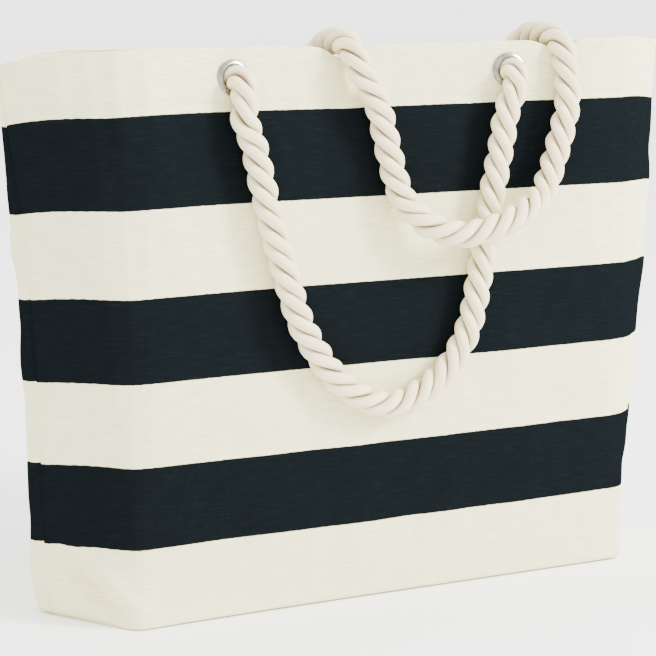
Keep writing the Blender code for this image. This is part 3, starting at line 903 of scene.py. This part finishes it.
# Stop knots: an overhand knot drawn tight inside each eyelet
knotValues = {
    "radius": 0.0046,
    "nodes": 110,
    "steps": 600,
    "lead": 0.0122,
    "tail": (0.004, 0.032),  # where the rope's end hangs, past the lead and down
    "loose": (0.0093, 0.0058, 0.0102),  # half the loose knot's size
    "behind": 0.0055,  # where its rope starts, behind the eyelet's face
    "ringSpacing": 0.0011,
    "neck": (0.35, 0.004),  # thicker at the eyelet: how much and how far
}


def overhandKnot():
    # a loose overhand knot is shortened until its turns lie against each other; x runs into the bag, z down
    v = knotValues
    inSize, sideSize, downSize = v["loose"]
    beyond, below = v["tail"]
    t = np.linspace(-1.98, 1.98, 392)
    shape = np.stack([v["lead"] + inSize * (t**5 - 10 * t) / 12, sideSize * (t**4 - 4 * t**2 + 2),
                      downSize * (t**3 - 3 * t)], axis=1)
    shape = np.vstack([[0.0, 0.0, 0.0], shape, [v["lead"] + beyond, 0.0, below]])
    width = 2 * v["radius"]
    number = np.arange(v["nodes"])
    for step in range(v["steps"]):
        if step % 4 == 0:  # the points are spread evenly again
            far = lengths(shape)
            at = np.linspace(0, far[-1], v["nodes"])
            shape = np.stack([np.interp(at, far, shape[:, i]) for i in range(3)], axis=1)
            skip = int(1.35 * width / at[1]) + 1
            apart = np.abs(number[:, None] - number) > skip
        shape[1:-1] += 0.08 * (shape[:-2] + shape[2:] - 2 * shape[1:-1])
        for _ in range(3):
            between = shape[:, None] - shape
            gap = np.linalg.norm(between, axis=2) + 1e-9
            press = np.where(apart, np.clip(width - gap, 0, None), 0) * 0.3
            push = (between / gap[:, :, None] * press[:, :, None]).sum(axis=1)
            size = np.linalg.norm(push, axis=1, keepdims=True)
            shape[1:-1] += (push * np.minimum(1, 0.001 / np.maximum(size, 1e-9)))[1:-1]
    return shape


tightKnot = overhandKnot()


def addKnot(name, xSide, ySide, nodes):
    middle, facing = eyeletPlace(xSide, ySide)
    across = np.cross(-facing, (0.0, 0.0, -1.0))
    across /= np.linalg.norm(across)
    basis = np.stack([-facing, across * xSide, np.cross(across, -facing)])
    start = middle - knotValues["behind"] * facing
    path = smoothPath(start + tightKnot[::2] @ basis, knotValues["ringSpacing"])
    reach = float(((middle - path) @ facing).max())
    print(name, "reaches", round(reach, 4), "m in,", round(lengths(path)[-1], 3), "m of rope")
    along = lengths(path)
    thicker, reachIn = knotValues["neck"]
    thin = knotValues["radius"] / ropeValues["radius"] * (1 + thicker * np.exp(-((along / reachIn) ** 2)))
    rings = strandRings(path, 0.7, thin)
    knot = ropePiece(name, rings, path, 0, len(path) - 1, cotton)
    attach(knot, "bag")
    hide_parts(nodes)
    return knot


for word, (xSide, ySide) in corners.items():
    addKnot(f"{word}_stop_knot_rope", xSide, ySide, f"{word}_stop_knot")
print("knots tied")


# Bindings: tape folded over the raw edges inside
bindingValues = {
    "width": 0.012,
    "thickness": 0.0026,
    "sideIn": 0.0026,  # how far inside the side seams
    "cornerIn": 0.0022,
    "cornerUp": 0.0016,
    "bottomUp": 0.0013,
    "color": (0.70, 0.68, 0.58),
    "ribGrooveShade": (0.52, 0.50, 0.42),
    "weave": (0.80, 0.78, 0.68),
}


def tapeFinish():
    f = Finish("binding tape", Roughness=0.93)
    along, across, _ = f.attribute("cloth")
    rib = f.node("ShaderNodeMath", {"operation": "SINE"}, {0: (along + across * 0.6) * 5200.0})
    weave = f.noise(f.vector(along * 900.0, across * 900.0, 2.0), 1.0, 2.0)
    # painted shade: the tape's rib valleys are darkened where the rib bump is low
    base = f.mix(rib.ramp(-1.0, 0.4, 0.25, 0.0), bindingValues["color"], bindingValues["ribGrooveShade"])
    f.set("Base Color", f.mix(weave.ramp(0.4, 0.7, 0.0, 0.25), base, bindingValues["weave"]))
    f.bump(rib * 0.5 + weave, 0.0002)
    return f.material


tape = tapeFinish()


def addTape(name, edge, inward, flat, node):
    # edge runs along the seam, inward points across the tape and flat through it
    width, thick = bindingValues["width"], bindingValues["thickness"] / 2
    section = [(0.0, -thick), (0.0, thick), (width * 0.5, thick), (width - thick, thick)]
    section += arcPoints((width - thick, 0.0), thick, 60, -60, 5)
    section += [(width - thick, -thick), (width * 0.5, -thick)]
    along = lengths(edge)
    points = [[edge[i] + a * inward[i] + b * flat[i] for a, b in section] for i in range(len(edge))]
    cloth = [[(along[i], a, b) for a, b in section] for i in range(len(edge))]
    count = len(section)
    faces = tubeFaces(len(edge), count)
    faces += [tuple(range(count))[::-1], tuple(range((len(edge) - 1) * count, len(edge) * count))]
    made = addMesh(name, points, faces, tape, cloth=np.array(cloth).reshape(-1, 3))
    made.data.set_sharp_from_angle(angle=math.radians(60))
    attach(made, "bag")
    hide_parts(node)
    return made


baseLine = (plainWalls[-1][-1] + plainWalls[1][-1]) / 2
for word, column, xSide in (("left", 0, -1), ("right", -1, 1)):
    seam = plainWalls[-1][10:143:4, column] - np.array([xSide * bindingValues["sideIn"], 0, 0])
    count = len(seam)
    addTape(f"{word}_side_tape", seam, [np.array([-xSide, 0, 0])] * count, [np.array([0, 1.0, 0])] * count,
            f"{word}_side_binding")
    front, back = [plainWalls[ySide][-1][::-xSide] for ySide in (-1, 1)]  # both start at this seam
    ends = np.concatenate([front[28::-2], back[2:29:2]])
    up = bindingValues["thickness"] / 2 + bindingValues["cornerUp"]
    ends = ends + np.array([-xSide * bindingValues["cornerIn"], 0, up])
    addTape(f"{word}_corner_tape", ends, [np.array([-xSide, 0, 0.12])] * len(ends),
            [np.array([0, 0, 1.0])] * len(ends), f"{word}_corner_binding")
middleLine = baseLine[24:-24:6] + np.array([0, 0, bindingValues["bottomUp"]])
addTape("bottom_tape", middleLine, [np.array([0, 0.25, 0.97])] * len(middleLine),
        [np.array([0, -0.97, 0.25])] * len(middleLine), "bottom_binding")
print("bindings sewn")


# What each piece moves with
for piece in (frontPanel, backPanel, frontStitches, backStitches):
    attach(piece, "bag")
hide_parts("front_panel")
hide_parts("back_panel")

declareRope(["front_handle_rope"])
declareRope(["back_rope_left_riser", "back_rope_left_run"])
declareRope(["back_rope_loop"])
declareRope(["back_rope_right_riser", "back_rope_right_run"])
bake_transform(frontRope)
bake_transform(backLeftRope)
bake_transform(backRightRope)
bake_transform(backLoopRope)


# Floor and light
stageValues = {"floor": (0.96, 0.96, 0.96), "world": 3.4, "key": 150.0, "fill": 2.0}


def addStage():
    size = 8.0
    low = -0.0004
    points = [(-size, -size, low), (size, -size, low), (size, size, low), (-size, size, low)]
    f = Finish("floor", Roughness=0.9)
    f.set("Base Color", (*stageValues["floor"], 1.0))
    floor = addMesh("floor", points, [(0, 1, 2, 3)], f.material, smooth=False)
    world = bpy.data.worlds.new("studio")
    bpy.context.scene.world = world
    world.use_nodes = True
    background = world.node_tree.nodes["Background"]
    background.inputs["Color"].default_value = (1.0, 1.0, 1.0, 1.0)
    background.inputs["Strength"].default_value = stageValues["world"]


def addLight(name, place, aim, size, power):
    data = bpy.data.lights.new(name, "AREA")
    data.shape = "DISK"
    data.size = size
    data.energy = power
    light = bpy.data.objects.new(name, data)
    bpy.context.scene.collection.objects.link(light)
    light.location = place
    light.rotation_mode = "QUATERNION"
    light.rotation_quaternion = (Vector(aim) - Vector(place)).to_track_quat("-Z", "Y")


addStage()
addLight("key", (1.5, -1.3, 1.5), (0, 0, 0.2), 0.7, stageValues["key"])
addLight("fill", (-1.6, -0.9, 0.9), (0, 0, 0.2), 1.2, stageValues["fill"])
